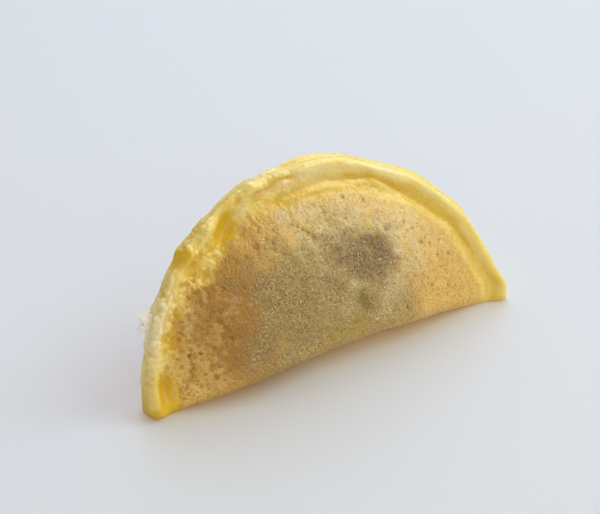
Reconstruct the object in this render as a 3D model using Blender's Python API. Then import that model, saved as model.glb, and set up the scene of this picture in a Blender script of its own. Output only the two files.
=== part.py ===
"""Egg dumpling: one round egg crepe folded in half over a filling.

It stands on its fold and leans back. The pressed rim is a flat band with a rolled lip, and the
filling puffs up the skin inside it. The lengths below are in millimetres and the angles in degrees.
Angles round the half disc run from the right tip, 0, over the top to the left tip, 180.
"""
import bpy
import numpy as np

MM = 0.001

# The folded crepe's outline: a half disc, a little wider than high. Each change round the rim is
# a bell curve, given by its angle, its spread and how far it goes.
OUTLINE_RADIUS = 38.6
OUTLINE_TO_LEFT = 0.8
OUTLINE_WIDER = 1.7
OUTLINE_THREE_SIDED = 0.3
OUTLINE_CHANGES = (
    (6.0, 3.6, 0.9),
    (30.0, 4.0, 0.6),
    (62.0, 12.0, -0.8),
    (95.0, 12.0, -0.8),
    (131.0, 7.0, -0.65),
)
RIGHT_CORNER = 1.3
LEFT_CORNER = 2.6
FOLD_HALF_LENGTH = 26.0
RIPPLE = 0.28
RIPPLES_AROUND = 17.0
FINE_RIPPLES_AROUND = 41.0
RIPPLE_FROM_ANGLE = 95.0
RIPPLE_SMOOTH_SIDE = 0.25

# How the half disc stands.
LEAN = 17.5
HALF_CHORD = 41.0
MIDDLE_SET_BACK = 3.8
SET_BACK_SKEW = 0.8
FOLD_ARCH = 1.1
REAR_SAG = 3.4
REAR_SAG_DEPTH = 5.0
REAR_SAG_HEIGHT = 12.0
SETTLE = 1.2
MIDDLE_X = -0.067
MIDDLE_Y = 5.94

# The pressed rim: two layers of crepe, each with a rolled lip. A valley runs inside the lip on the
# smooth right side, and the left side is lumpy froth.
LAYER = 1.7
LEFT_EAR_THICKER = ((178.0, 12.0, 0.5),)
LIP_NOSE = 1.3
LIP_EDGE = 0.8
LIP_CREST_AT = 1.3
LIP_CREST_WIDTH = 1.3
LIP_CREST_HEIGHT = 0.5
VALLEY_AT = 4.4
VALLEY_CHANGES = ((61.0, 8.0, -1.8), (12.0, 14.0, -1.8))
VALLEY_WIDTH = 0.7
VALLEY_DEPTH = 0.45
VALLEY_FADES_FROM = 76.0
VALLEY_FADES_OVER = 26.0
RIDGE_AT = 5.9
RIDGE_WIDTH = 0.8
RIDGE_HEIGHT = 0.25
FROTH_HEIGHT = 0.4
FROTH_SIZE = 2.6
FROTH_INSIDE = 1.5
EDGE_GROOVE = 0.9
EDGE_GROOVE_AT_LEFT = 0.3
REAR_LAYER_PROUD = 0.35
REAR_LAYER_CHANGES = ((40.0, 18.0, 0.8), (91.0, 12.0, 0.4), (132.0, 7.0, 0.5))
RIM_WAVE = -0.6
RIM_WAVES_AROUND = 3.0
RIM_WAVE_REACH = 9.0

# The filling under the skin.
PILLOW_EDGE = 4.45
PILLOW_EDGE_CHANGES = (
    (0.0, 6.0, 1.2),
    (98.0, 50.0, 2.6),
    (150.0, 8.0, -2.3),
    (176.0, 6.0, 1.3),
)
PILLOW_SOFTNESS = 0.8
PILLOW_RISE = 20.5
PILLOW_FULLNESS = 0.68
FRONT_HEIGHT = 6.9
REAR_HEIGHT = 7.6
TIP_TAPER = 3.2
FOLD_ROUND_FRONT = 2.0
FOLD_ROUND_REAR = 6.4

# Hollows and lumps of the front skin: place along the fold, height above it, half length,
# half width, depth (lumps are negative) and the turn of the long side from level.
FRONT_RELIEF = (
    (-17.9, 29.4, 4.1, 1.9, 1.5, 48.0),
    (-14.8, 33.3, 0.9, 0.7, 0.60, 60.0),
    (-25.0, 28.6, 1.5, 0.8, 0.60, 50.0),
    (-26.3, 24.9, 1.4, 0.9, 0.70, 30.0),
    (-24.8, 22.8, 0.7, 0.6, 0.50, 0.0),
    (-29.0, 20.4, 0.9, 0.8, 0.70, 60.0),
    (-31.0, 23.2, 1.4, 0.5, 0.45, 60.0),
    (-32.6, 14.6, 3.4, 0.8, 1.00, 82.0),
    (-37.0, 5.9, 2.9, 1.5, 1.50, 86.0),
    (-34.6, 17.6, 1.5, 0.6, 0.50, 70.0),
    (-7.0, 33.7, 1.8, 0.5, 0.70, 28.0),
    (-3.0, 34.3, 2.2, 0.5, 0.80, -6.0),
    (-2.0, 31.2, 5.5, 0.5, 0.35, 2.0),
    (5.2, 8.9, 1.6, 1.4, 0.65, 80.0),
    (9.5, 18.6, 4.2, 2.6, 0.35, 60.0),
    (-6.0, 8.6, 3.8, 2.2, -0.55, 30.0),
    (-3.0, 16.5, 6.5, 5.0, -0.45, 10.0),
    (-19.0, 15.0, 6.0, 3.4, 0.40, 50.0),
    (21.0, 14.0, 5.0, 3.2, -0.35, 120.0),
)

COLUMNS = 100
ROWS = 26
RIM_ROWS = 4

EGG_COLOUR = (0.72, 0.49, 0.17, 1.0)
EGG_ROUGHNESS = 0.48


def bump(x, centre, width):
    """A bell curve of height 1 at the centre."""
    return np.exp(-((x - centre) / width) ** 2)


def changes_at(angle, changes):
    """Sum of the listed bell curves round the rim."""
    total = np.zeros_like(angle)
    for centre, spread, height in changes:
        total = total + height * bump(angle, centre, spread)
    return total


def smooth_step(x):
    """0 below 0 and 1 above 1, with a smooth S between."""
    x = np.clip(x, 0.0, 1.0)
    return x * x * (3.0 - 2.0 * x)


def outline(angle):
    """Distance from the fold's middle to the rim, at an angle in degrees."""
    turn = np.radians(angle)
    radius = OUTLINE_RADIUS - OUTLINE_TO_LEFT * np.cos(turn)
    radius = radius + OUTLINE_WIDER * np.cos(2.0 * turn) + OUTLINE_THREE_SIDED * np.cos(3.0 * turn)
    radius = radius + changes_at(angle, OUTLINE_CHANGES) + ripple(angle)
    corner = np.where(np.asarray(angle) < 90.0, RIGHT_CORNER, LEFT_CORNER)
    below_corner = np.clip(1.0 - radius * np.sin(turn) / corner, 0.0, 1.0)
    return radius - corner * (1.0 - np.sqrt(1.0 - below_corner ** 2))


def ripple(angle):
    """Small unevenness of the rim, stronger on the frothy left side."""
    turn = np.radians(angle)
    uneven = np.sin(RIPPLES_AROUND * turn + 0.6) + 0.6 * np.sin(FINE_RIPPLES_AROUND * turn)
    left_side = smooth_step((angle - RIPPLE_FROM_ANGLE) / 20.0)
    return RIPPLE * uneven * (RIPPLE_SMOOTH_SIDE + (1.0 - RIPPLE_SMOOTH_SIDE) * left_side) * np.sin(turn)


def spaced(count, density):
    """count + 1 values from 0 to 1, closest together where density is highest."""
    grid = np.linspace(0.0, 1.0, 4001)
    weight = density(grid)
    total = np.concatenate(([0.0], np.cumsum((weight[1:] + weight[:-1]) / 2.0)))
    return np.interp(np.linspace(0.0, 1.0, count + 1), total / total[-1], grid)


def column_density(share):
    """Columns crowd at both tips, where the fold is tight."""
    from_tip = np.minimum(share, 1.0 - share)
    return 1.0 + 9.0 * np.exp(-from_tip / 0.006)


def row_density(share):
    """Rows crowd at the fold and on the pressed rim."""
    return 1.0 + 5.0 * np.exp(-share / 0.03) + 1.6 * smooth_step((share - 0.76) / 0.06)


def left_side(angle):
    """1 on the frothy left side of the rim, falling to 0 past the top."""
    return smooth_step((angle - 82.0) / 22.0)


def pillow_edge(angle):
    """Distance from the rim at which the filling starts: widest at the top, narrow low on the left."""
    return PILLOW_EDGE + changes_at(angle, PILLOW_EDGE_CHANGES)


def pillow(u, inward, angle, height):
    """The filling's rise above the pressed rim: quick at its edge, then rounding over."""
    past = inward - pillow_edge(angle)
    past = 0.5 * (past + np.sqrt(past ** 2 + PILLOW_SOFTNESS ** 2))
    share = np.clip(past / PILLOW_RISE, 0.0, 1.0)
    taper = 1.0 - np.clip(np.abs(u) / HALF_CHORD, 0.0, 1.0) ** TIP_TAPER
    return height * taper * (1.0 - (1.0 - share) ** 2) ** PILLOW_FULLNESS


def front_relief(u, v):
    """Sum of the listed hollows, each an elliptical bell turned to its own slope."""
    depth = np.zeros_like(u)
    for at_u, at_v, half_length, half_width, deep, slope in FRONT_RELIEF:
        turn = np.radians(slope)
        along = (u - at_u) * np.cos(turn) + (v - at_v) * np.sin(turn)
        across = (v - at_v) * np.cos(turn) - (u - at_u) * np.sin(turn)
        depth = depth + deep * np.exp(-(along / half_length) ** 2 - (across / half_width) ** 2)
    return depth


def valley_and_ridge(angle, inward):
    """The valley inside the smooth lip and the low ridge past it, gone on the frothy left side."""
    valley_at = VALLEY_AT + changes_at(angle, VALLEY_CHANGES)
    valley = VALLEY_DEPTH * bump(inward, valley_at, VALLEY_WIDTH)
    smooth_side = 1.0 - smooth_step((angle - VALLEY_FADES_FROM) / VALLEY_FADES_OVER)
    return smooth_side * (RIDGE_HEIGHT * bump(inward, RIDGE_AT, RIDGE_WIDTH) - valley)


def froth(u, v, angle, inward):
    """Lumps of froth on the left of the rim, from two crossed sets of uneven waves."""
    waves = np.sin(u / FROTH_SIZE * 2.3 + 1.5 * np.sin(v / FROTH_SIZE * 1.7))
    waves = waves * np.sin(v / FROTH_SIZE * 2.9 + 1.2 * np.sin(u / FROTH_SIZE * 1.3))
    clear_of_ear = smooth_step(v / 6.0 - 0.7)
    on_rim = 1.0 - smooth_step((inward - pillow_edge(angle)) / FROTH_INSIDE)
    return FROTH_HEIGHT * waves * left_side(angle) * on_rim * clear_of_ear


def skin_height(u, v, front):
    """Height of the front or rear skin above the half disc's middle plane."""
    angle = np.degrees(np.arctan2(v, u))
    inward = outline(angle) - np.hypot(u, v)
    nose = np.clip(inward / LIP_NOSE, 0.0, 1.0)
    layer = LAYER * (1.0 + changes_at(angle, LEFT_EAR_THICKER))
    height = LIP_EDGE + (layer - LIP_EDGE) * np.sqrt(1.0 - (1.0 - nose) ** 2)
    crest = LIP_CREST_HEIGHT + (1.6 * ripple(angle) if front else 0.0)
    height = height + crest * bump(inward, LIP_CREST_AT, LIP_CREST_WIDTH)
    height = height + valley_and_ridge(angle, inward)
    height = height + pillow(u, inward, angle, FRONT_HEIGHT if front else REAR_HEIGHT)
    fold_round = FOLD_ROUND_FRONT if front else FOLD_ROUND_REAR
    fold_round = LAYER + fold_round * (1.0 - np.clip(np.abs(u) / HALF_CHORD, 0.0, 1.0) ** 2.5)
    near_fold = np.clip(v / fold_round, 0.0, 1.0)
    if front:
        height = height - front_relief(u, v) + froth(u, v, angle, inward)
    else:
        height = height + 0.25 * np.sin(u / 5.3 + 1.0) * np.sin(v / 4.1)
    return height * np.sqrt(1.0 - (1.0 - near_fold) ** 2)


def stand(u, v, height):
    """Wave the rim, lean the half disc back, bow it, sag its rear and flatten it where it rests."""
    inward = np.maximum(outline(np.degrees(np.arctan2(v, u))) - np.hypot(u, v), 0.0)
    wave = RIM_WAVE * np.sin(RIM_WAVES_AROUND * np.arctan2(v, u) + 0.5)
    height = height + wave * np.exp(-inward / RIM_WAVE_REACH) * np.clip(v / RIM_WAVE_REACH, 0.0, 1.0)
    lean = np.radians(LEAN)
    reach = np.clip(u / HALF_CHORD, -1.0, 1.0)
    middle = 1.0 - reach ** 2
    sag = REAR_SAG * middle * smooth_step(-height / REAR_SAG_DEPTH) * np.exp(-v / REAR_SAG_HEIGHT)
    level = v + FOLD_ARCH * middle - sag
    set_back = MIDDLE_SET_BACK * middle * (1.0 + SET_BACK_SKEW * reach)
    x = u - MIDDLE_X
    y = v * np.sin(lean) - height * np.cos(lean) + set_back - MIDDLE_Y
    z = level * np.cos(lean) + height * np.sin(lean) - SETTLE
    return np.stack((x, y, np.maximum(z, 0.0)), axis=-1)


def half_disc(angles, rows):
    """Places u along the fold and v above it: straight lines fan from the fold to the rim."""
    radius = outline(angles)[:, None]
    turn = np.radians(angles)[:, None]
    start = (FOLD_HALF_LENGTH * (1.0 - 2.0 * angles / 180.0))[:, None]
    u = start + (radius * np.cos(turn) - start) * rows[None, :]
    v = radius * np.sin(turn) * rows[None, :]
    return u, v


def crepe_points():
    """Rings of points, each from the fold up the front skin, round the rim and down the rear."""
    angles = 180.0 * spaced(COLUMNS, column_density)
    rows = spaced(ROWS, row_density)
    front_u, front_v = half_disc(angles, rows)
    front_h = skin_height(front_u, front_v, True)
    rear_h = -skin_height(front_u, front_v, False)[:, ::-1]

    turn = np.radians(angles)[:, None]
    clear_of_tip = np.minimum(1.0, 4.0 * np.sin(turn))
    frothy = left_side(angles)[:, None]
    proud = REAR_LAYER_PROUD * (1.0 - frothy) + changes_at(angles, REAR_LAYER_CHANGES)[:, None]
    proud = proud * clear_of_tip
    rear_u = front_u[:, ::-1] + proud * np.cos(turn) * rows[None, ::-1] ** 8
    rear_v = front_v[:, ::-1] + proud * np.sin(turn) * rows[None, ::-1] ** 8

    share = np.linspace(0.0, 1.0, RIM_ROWS + 1)[None, 1:-1]
    rim_h = front_h[:, -1:] + (rear_h[:, :1] - front_h[:, -1:]) * share
    groove = (EDGE_GROOVE + (EDGE_GROOVE_AT_LEFT - EDGE_GROOVE) * frothy) * clear_of_tip
    groove = groove * np.sin(np.pi * share)
    radius = outline(angles)[:, None] + proud * share - groove

    u = np.concatenate((front_u, radius * np.cos(turn), rear_u), axis=1)
    v = np.concatenate((front_v, radius * np.sin(turn), rear_v), axis=1)
    height = np.concatenate((front_h, rim_h, rear_h), axis=1)
    return stand(u, v, height)


def ring_numbers():
    """Point numbers: each ring starts and ends on the fold, and the two end rings close flat."""
    ring = 2 * ROWS + RIM_ROWS + 1
    numbers = np.arange((COLUMNS + 1) * ring).reshape(COLUMNS + 1, ring)
    numbers[:, -1] = numbers[:, 0]
    for end in (0, -1):
        numbers[end, ROWS:ROWS + RIM_ROWS] = numbers[end, ROWS]
        numbers[end, ROWS + RIM_ROWS:] = numbers[end, ROWS::-1]
    return numbers


def crepe_faces(numbers):
    """Two triangles between each four neighbours, without those that close to nothing at a tip."""
    first = numbers[:-1, :-1].ravel()
    second = numbers[1:, :-1].ravel()
    third = numbers[1:, 1:].ravel()
    fourth = numbers[:-1, 1:].ravel()
    faces = np.concatenate((np.stack((first, third, second), 1), np.stack((first, fourth, third), 1)))
    differ = (faces[:, 0] != faces[:, 1]) & (faces[:, 1] != faces[:, 2]) & (faces[:, 2] != faces[:, 0])
    return faces[differ]


def egg_material():
    """Cooked egg: matt golden yellow."""
    material = bpy.data.materials.new("cooked_egg")
    material.use_nodes = True
    shader = material.node_tree.nodes["Principled BSDF"]
    shader.inputs["Base Color"].default_value = EGG_COLOUR
    shader.inputs["Roughness"].default_value = EGG_ROUGHNESS
    shader.inputs["Metallic"].default_value = 0.0
    return material


def build_dumpling():
    """The folded crepe as one closed object."""
    points = crepe_points().reshape(-1, 3)
    used, faces = np.unique(crepe_faces(ring_numbers()), return_inverse=True)
    mesh = bpy.data.meshes.new("egg_dumpling")
    mesh.from_pydata((points[used] * MM).tolist(), [], faces.reshape(-1, 3).tolist())
    mesh.shade_smooth()
    mesh.materials.append(egg_material())
    dumpling = bpy.data.objects.new("egg_dumpling", mesh)
    bpy.context.scene.collection.objects.link(dumpling)
    return dumpling


def main():
    """Clear the scene and build the dumpling."""
    for old in list(bpy.data.objects):
        bpy.data.objects.remove(old, do_unlink=True)
    build_dumpling()


main()
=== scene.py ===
"""Looks of the egg dumpling: a porous, puffed egg skin with a pale, frothy pressed rim.

Lengths are in millimetres and angles in degrees, unless a name says otherwise. Places on the dumpling
are given on its half disc: u along the fold, v above the fold and inward, the distance from the rim.
Angles round the half disc run from the right tip, 0, over the top to the left tip, 180.
"""

import math

import bpy
import numpy as np
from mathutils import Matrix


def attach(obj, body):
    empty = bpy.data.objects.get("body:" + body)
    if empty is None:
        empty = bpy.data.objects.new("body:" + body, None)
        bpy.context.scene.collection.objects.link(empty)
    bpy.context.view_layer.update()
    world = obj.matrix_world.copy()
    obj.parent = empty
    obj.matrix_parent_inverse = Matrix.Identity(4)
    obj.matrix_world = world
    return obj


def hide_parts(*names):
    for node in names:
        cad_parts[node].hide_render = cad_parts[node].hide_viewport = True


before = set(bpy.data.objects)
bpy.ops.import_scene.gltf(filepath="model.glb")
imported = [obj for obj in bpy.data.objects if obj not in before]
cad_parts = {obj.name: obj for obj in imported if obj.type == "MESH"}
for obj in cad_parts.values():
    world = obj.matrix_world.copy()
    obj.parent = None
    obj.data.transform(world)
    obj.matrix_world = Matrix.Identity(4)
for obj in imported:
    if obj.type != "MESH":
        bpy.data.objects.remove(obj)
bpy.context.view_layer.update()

MM = 0.001

# The folded crepe's outline and stance, as the solid has them. Each change round the rim is a bell
# curve, given by its angle, its spread and how far it goes.
OUTLINE_RADIUS = 38.6
OUTLINE_TO_LEFT = 0.8
OUTLINE_WIDER = 1.7
OUTLINE_THREE_SIDED = 0.3
OUTLINE_CHANGES = (
    (6.0, 3.6, 0.9),
    (30.0, 4.0, 0.6),
    (62.0, 12.0, -0.8),
    (95.0, 12.0, -0.8),
    (131.0, 7.0, -0.65),
)
TIP_CORNERS = (1.3, 2.6)
FOLD_HALF_LENGTH = 26.0
RIPPLE = 0.28
RIPPLES_AROUND = 17.0
FINE_RIPPLES_AROUND = 41.0
RIPPLE_FROM_ANGLE = 95.0
RIPPLE_SMOOTH_SIDE = 0.25
LEAN = 17.5
HALF_CHORD = 41.0
MIDDLE_SET_BACK = 3.8
SET_BACK_SKEW = 0.8
FOLD_ARCH = 1.1
REAR_SAG = 3.4
REAR_SAG_DEPTH = 5.0
REAR_SAG_HEIGHT = 12.0
SETTLE = 1.2
MIDDLE_X = -0.067
MIDDLE_Y = 5.94

# The pressed rim and the filling's rise, as the solid has them.
LAYER = 1.7
LEFT_EAR_THICKER = ((178.0, 12.0, 0.5),)
LIP_NOSE = 1.3
LIP_EDGE = 0.8
LIP_CREST = (1.3, 1.3)
LIP_CREST_HEIGHT = 0.5
VALLEY_AT = 4.4
VALLEY_CHANGES = ((61.0, 8.0, -1.8), (12.0, 14.0, -1.8))
VALLEY_WIDTH = 0.7
VALLEY_DEPTH = 0.45
VALLEY_FADES_FROM = 76.0
VALLEY_FADES_OVER = 26.0
INNER_RIDGE = (5.9, 0.8)
INNER_RIDGE_HEIGHT = 0.25
EDGE_GROOVE = 0.9
EDGE_GROOVE_AT_LEFT = 0.3
REAR_PROUD = 0.35
REAR_PROUD_CHANGES = ((40.0, 18.0, 0.8), (91.0, 12.0, 0.4), (132.0, 7.0, 0.5))
RIM_WAVE = -0.6
RIM_WAVES_AROUND = 3.0
RIM_WAVE_REACH = 9.0
PILLOW_EDGE = 4.45
PILLOW_EDGE_CHANGES = (
    (0.0, 6.0, 1.2),
    (98.0, 50.0, 2.6),
    (150.0, 8.0, -2.3),
    (176.0, 6.0, 1.3),
)
PILLOW_SOFTNESS = 0.8
PILLOW_RISE = 20.5
PILLOW_FULLNESS = 0.68
FRONT_HEIGHT = 6.9
REAR_HEIGHT = 7.6
TIP_TAPER = 3.2
FOLD_ROUND_FRONT = 2.0
FOLD_ROUND_REAR = 6.4

# Hollows of the front skin: u, v, half length, half width, depth and the turn of the long side.
FRONT_HOLLOWS = (
    (-17.9, 29.4, 4.1, 1.9, 1.5, 48.0),
    (-14.8, 33.3, 0.9, 0.7, 0.60, 60.0),
    (-25.0, 28.6, 1.5, 0.8, 0.60, 50.0),
    (-26.3, 24.9, 1.4, 0.9, 0.70, 30.0),
    (-24.8, 22.8, 0.7, 0.6, 0.50, 0.0),
    (-29.0, 20.4, 0.9, 0.8, 0.70, 60.0),
    (-31.0, 23.2, 1.4, 0.5, 0.45, 60.0),
    (-32.6, 14.6, 3.4, 0.8, 1.00, 82.0),
    (-37.0, 5.9, 2.9, 1.5, 1.50, 86.0),
    (-34.6, 17.6, 1.5, 0.6, 0.50, 70.0),
    (-7.0, 33.7, 1.8, 0.5, 0.70, 28.0),
    (-3.0, 34.3, 2.2, 0.5, 0.80, -6.0),
    (-2.0, 31.2, 5.5, 0.5, 0.35, 2.0),
    (5.2, 8.9, 1.6, 1.4, 0.65, 80.0),
    (9.5, 18.6, 4.2, 2.6, 0.35, 60.0),
    (-6.0, 8.6, 3.8, 2.2, -0.55, 30.0),
    (-3.0, 16.5, 6.5, 5.0, -0.45, 10.0),
    (-19.0, 15.0, 6.0, 3.4, 0.40, 50.0),
    (21.0, 14.0, 5.0, 3.2, -0.35, 120.0),
)

# Larger open bubbles of the front skin: u, v and radius.
PORES = (
    (-14.1, 24.7, 0.85),
    (-11.6, 25.6, 0.45),
    (-10.6, 24.6, 0.50),
    (-5.2, 26.3, 0.35),
    (-9.5, 26.5, 0.40),
    (-4.3, 25.8, 0.40),
    (-3.5, 24.8, 0.50),
    (-2.9, 24.0, 0.55),
    (-2.0, 23.2, 0.60),
    (-16.5, 23.9, 0.45),
    (-20.6, 21.1, 0.40),
    (-22.7, 19.9, 0.55),
    (-25.7, 18.8, 0.60),
    (-26.6, 16.0, 0.50),
    (-24.8, 16.3, 0.55),
    (-25.2, 14.5, 0.60),
    (-24.3, 13.4, 0.45),
    (-27.1, 9.9, 0.70),
    (-29.5, 9.9, 0.45),
    (-31.4, 10.0, 0.40),
    (-28.1, 7.0, 0.55),
    (-27.9, 5.0, 0.45),
    (-23.6, 10.8, 0.40),
    (-18.7, 19.0, 0.35),
    (-12.4, 27.2, 0.45),
    (-10.9, 23.5, 0.40),
    (7.6, 27.9, 0.45),
    (11.8, 26.4, 0.40),
    (14.4, 20.1, 0.55),
    (11.5, 18.9, 0.60),
    (14.9, 14.3, 0.50),
    (14.6, 4.7, 0.55),
    (21.4, 15.9, 0.50),
    (23.6, 15.3, 0.45),
    (26.3, 9.4, 0.35),
    (18.9, 20.6, 0.45),
    (2.2, 26.6, 0.35),
    (20.6, 18.6, 0.40),
    (24.8, 12.4, 0.45),
    (28.2, 12.0, 0.40),
    (21.8, 7.4, 0.50),
    (26.0, 6.2, 0.40),
    (17.2, 9.6, 0.40),
    (30.4, 7.6, 0.35),
)

# Coloured places on the front skin: start, end, width and strength of each stroke.
GOLDEN_STROKES = (
    ((-8.4, 33.8), (-5.6, 34.7), 0.6, 1.0),
    ((-5.6, 34.7), (-3.1, 34.5), 0.6, 1.0),
    ((-3.1, 34.5), (-0.9, 33.3), 0.6, 1.0),
    ((-0.7, 30.8), (3.3, 29.8), 0.45, 0.9),
    ((-9.5, 29.2), (-2.5, 31.0), 1.2, 0.6),
    ((-17.0, 27.4), (-9.5, 29.2), 1.6, 0.7),
    ((-15.8, 32.1), (-17.6, 29.6), 1.2, 1.0),
    ((-17.6, 29.6), (-20.7, 26.7), 1.2, 1.0),
    ((-32.1, 17.3), (-33.3, 11.4), 0.8, 0.9),
    ((-36.8, 7.7), (-37.7, 3.3), 1.5, 1.0),
    ((38.8, 4.6), (37.4, 9.0), 1.2, 1.0),
)
CREAM_STROKES = (
    ((-8.8, 33.5), (-7.2, 32.4), 0.6, 0.9),
    ((-7.2, 32.4), (-5.0, 33.2), 0.6, 0.8),
    ((-5.0, 33.2), (-3.3, 32.1), 0.7, 0.9),
    ((1.8, 31.4), (8.3, 32.2), 1.0, 0.6),
    ((-20.4, 31.6), (-23.4, 28.4), 1.0, 0.7),
    ((-20.5, 33.4), (-24.8, 29.8), 1.7, 1.0),
    ((-39.6, 6.5), (-39.8, 3.6), 0.8, 0.8),
)
LIME_STROKES = (
    ((-3.5, 4.0), (4.6, 5.2), 2.2, 0.9),
    ((4.6, 9.5), (6.4, 7.6), 1.6, 1.0),
)
# The pale strokes are partly the thin skin's own paler colour and partly painted highlight on the ridges
# over the filling.
PALE_STROKES = (
    ((8.5, 25.8), (15.0, 19.4), 1.4, 1.0),
    ((15.8, 18.4), (16.4, 12.6), 1.8, 0.9),
    ((18.2, 19.0), (19.2, 13.8), 3.0, 0.95),
    ((14.8, 11.6), (10.4, 6.6), 2.4, 0.9),
    ((1.0, 8.4), (8.0, 10.6), 1.6, 0.4),
    ((-4.4, 24.4), (-2.2, 20.8), 1.2, 0.6),
    ((3.6, 12.6), (5.0, 11.6), 1.0, 1.0),
    ((-6.0, 28.0), (9.0, 27.6), 2.6, 0.9),
    ((0.0, 24.4), (9.0, 23.4), 1.6, 0.9),
    ((9.0, 23.4), (13.0, 22.6), 1.6, 0.8),
    ((19.0, 22.6), (24.0, 19.6), 1.8, 0.7),
    ((-30.4, 16.6), (-31.0, 15.2), 0.7, 0.9),
)
# The dark strokes are partly the filling's dark colour and partly painted shade in the dents of the skin.
DARK_AND_DENT_SHADE_STROKES = (
    ((4.2, 20.2), (12.8, 18.2), 1.0, 0.9),
    ((13.8, 18.4), (13.6, 13.0), 0.9, 0.5),
    ((4.6, 9.4), (6.2, 8.0), 1.7, 0.95),
)
# Where shade is painted in the left ear's hollow: start, end and width.
EAR_HOLLOW_SHADE = ((-36.8, 7.2), (-37.6, 3.8), 1.0)
CRACK = ((-31.5, 9.8), (-31.4, 7.9), (-32.5, 5.7), (-33.7, 4.2))

# Patches on the rim: angle, distance from the rim, their spreads, and strength.
FROTH_PATCHES = (
    (98.0, 3.8, 6.0, 1.8, 0.8),
    (113.0, 3.4, 6.0, 2.2, 0.7),
    (126.0, 6.5, 4.0, 1.6, 0.6),
    (138.0, 4.2, 7.0, 2.6, 1.0),
    (151.0, 3.4, 6.0, 1.6, 0.9),
    (162.0, 4.2, 6.0, 1.4, 1.0),
    (172.0, 5.4, 4.0, 1.2, 0.8),
    (152.0, 1.2, 14.0, 1.6, 0.7),
)
FROTH_ELSEWHERE = 0.6
COMBED_PATCHES = ((112.0, 6.8, 9.0, 2.2, 1.0),)
OCHRE_PATCHES = (
    (145.0, 3.2, 6.0, 1.8, 0.35),
    (133.0, 5.5, 5.0, 2.0, 0.3),
)
WHITE_PATCHES = ((92.0, 2.2, 14.0, 1.4, 0.7),)
GOLDEN_PATCHES = (
    (9.0, 2.6, 7.0, 1.0, 0.5),
    (128.0, 6.6, 6.0, 1.2, 0.8),
)

# Bell curves round the rim, given by angle and spread.
WHITE_LIP = (154.0, 12.0)
GOLDEN_EDGE = (136.0, 4.5)
GOLDEN_EAR = (181.0, 9.0)
LESS_CREAM = (141.0, 14.0)

# How far inward the tan of the belly starts, and how softly: changes as for the outline.
TAN_STARTS = 0.5
TAN_STARTS_CHANGES = ((114.0, 14.0, 1.3),)
TAN_SOFTNESS = 1.4
TAN_SOFTNESS_CHANGES = ((152.0, 16.0, 1.6),)
TAN_SOFTER_AT_RIGHT = 2.4

# Ovals on the half disc: u, v, half length and half height.
# Deep tan is partly the skin's own browning and partly painted shade on the left flank, which faces away
# from the light.
DEEP_TAN_AND_SHADE = (-18.5, 14.0, 11.5, 14.0)
FILLING = (-1.0, 9.0, 19.0, 17.2)
FILLING_SLOPE = 0.14
BRUISE = (7.5, 16.8, 7.0, 5.6)
PALE_TOP = (17.0, 22.0, 15.0, 8.0)
CLUMPED = (5.0, 20.5, 7.0, 7.0)

# Crumbly zones of the skin: place, half sizes and strength.
CRUMBLY_ZONES = (
    (-29.5, 13.5, 6.5, 11.0, 1.0),
    (24.0, 11.0, 8.0, 7.5, 0.5),
    (4.0, 26.5, 14.0, 3.0, 0.4),
)

# Thin white flakes on the left rim: angle, length, width, lift towards the front, and curl.
FLAKES = (
    (153.2, 4.4, 2.6, 0.2, 1.3),
    (156.0, 3.0, 1.8, -0.3, -1.0),
)
FLAKE_THICKNESS = 0.16
FLAKE_ROOT = 0.8
FLAKE_STEPS = 24
FLAKE_AROUND = 32

# Heights and depths of all that is finer than the solid.
GRAIN_HEIGHT = 0.12
LUMP_HEIGHT = 0.18
RIM_LUMP_HEIGHT = 0.14
SMALL_PORE_DEPTH = 0.15
LARGE_PORE_DEPTH = 0.26
FROTH_HEIGHT = 0.62
FROTH_AT_REAR = 0.65
FROTH_LOST_IN_HOLLOWS = 0.85
CRUMBLY_CURD_HEIGHT = 0.14
CRUMB_FLAKE_HEIGHT = 0.10
CRUMB_PIT_DEPTH = 0.17
STREAK_HEIGHT = 0.12
CLUMP_HEIGHT = 0.22
COMBED_HEIGHT = 0.16
CRACK_DEPTH = 0.35
CURD_SEED = 41
PORE_SEED = 51

SKIN_MASKS = (
    "tan",
    "deep",
    "filling",
    "bruise",
    "dark_and_dent_shade",
    "lime",
    "pale_and_highlight",
    "glow",
    "orange_and_shade",
    "flake",
    "cream_and_highlight",
    "white_and_highlight",
    "golden_and_shade",
    "pore_and_crack_shade",
)

# Colours as they look on a screen, 0 to 255. A layer has its mask, its strength, and a colour, or two
# colours that the finest noise mixes.
RIM_COLOURS = ((235, 213, 120), (230, 199, 90))
RIM_LAYERS = (
    # golden is partly painted shade in the rim's gaps, hollows and valley.
    ("golden_and_shade", 1.0, (221, 184, 26)),
    # cream is partly painted highlight on the curds and the right lip's crest.
    ("cream_and_highlight", 1.0, (239, 219, 130)),
    # white is partly painted highlight on the right lip and on the curds.
    ("white_and_highlight", 1.0, (243, 232, 186)),
)
TAN_COLOURS = ((240, 203, 116), (232, 190, 102))
TAN_LAYERS = (
    # deep is partly painted shade on the left flank.
    ("deep", 1.0, (173, 127, 46)),
    ("filling", 0.9, (196, 174, 114), (152, 126, 70)),
    ("lime", 0.7, (184, 157, 58)),
    ("bruise", 0.72, (170, 142, 102), (104, 79, 52)),
    # pale is partly painted highlight on the ridges over the filling.
    ("pale_and_highlight", 0.8, (244, 226, 170)),
    # dark is partly painted shade in the dents.
    ("dark_and_dent_shade", 0.6, (124, 98, 52)),
    # glow is painted light at the foot.
    ("glow", 0.85, (253, 214, 128)),
    ("flake", 0.36, (240, 204, 124)),
)
SKIN_LAYERS = (
    # orange is partly painted shade in the ear's hollow and the froth's gaps.
    ("orange_and_shade", 0.6, (196, 138, 30)),
    # pore is painted shade in the pores and the crack.
    ("pore_and_crack_shade", 0.85, (188, 136, 38)),
)
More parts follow.
